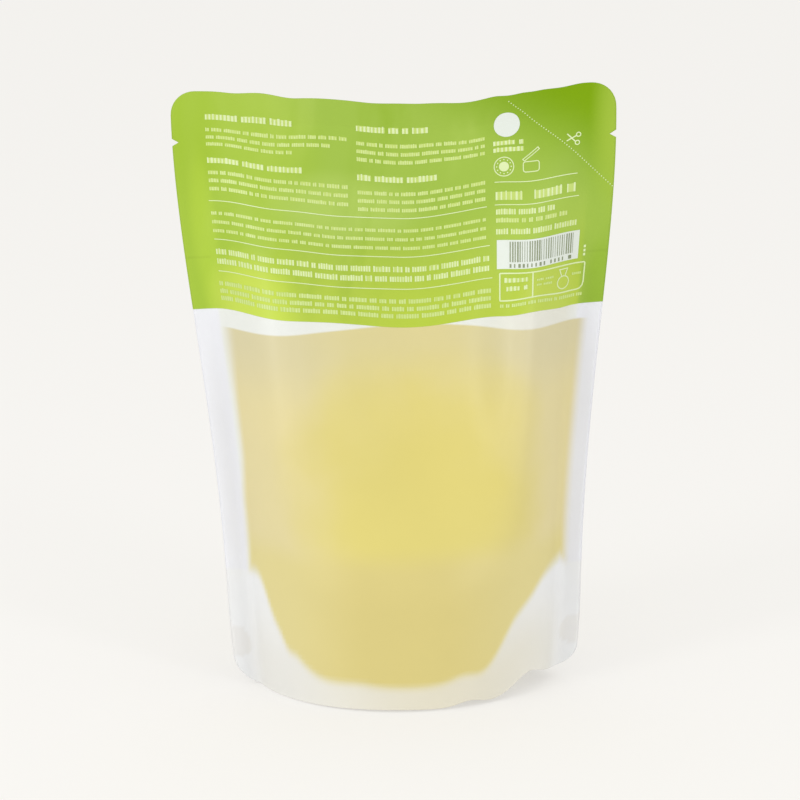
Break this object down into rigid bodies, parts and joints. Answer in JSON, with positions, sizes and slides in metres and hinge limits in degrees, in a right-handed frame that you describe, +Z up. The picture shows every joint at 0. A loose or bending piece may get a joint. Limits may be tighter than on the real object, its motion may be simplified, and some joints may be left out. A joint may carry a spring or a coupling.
{
  "type": "liquid soap refill pouch",
  "caption": "Standing film pouch with a printed header, welded sides, tear notches and an opened base fold, filled with liquid hand soap.",
  "frame": {"origin": "bottom centre of the bounding box, on the surface the pouch stands on", "axes": "+Z up along the pouch's height, +X across its width, -Y out of the back panel with the printed notes"},
  "size_m": [0.1498, 0.073, 0.2086],
  "materials": {
    "printed_film": "matte frosted film, reverse printed in green across the header",
    "frosted_film": "matte frosted translucent film",
    "liquid_soap": "translucent yellow liquid"
  },
  "bodies": {
    "root": {"back_panel": "printed_film", "front_panel": "printed_film", "base_gusset": "frosted_film", "liquid_soap": "liquid_soap"}
  },
  "joints": []
}
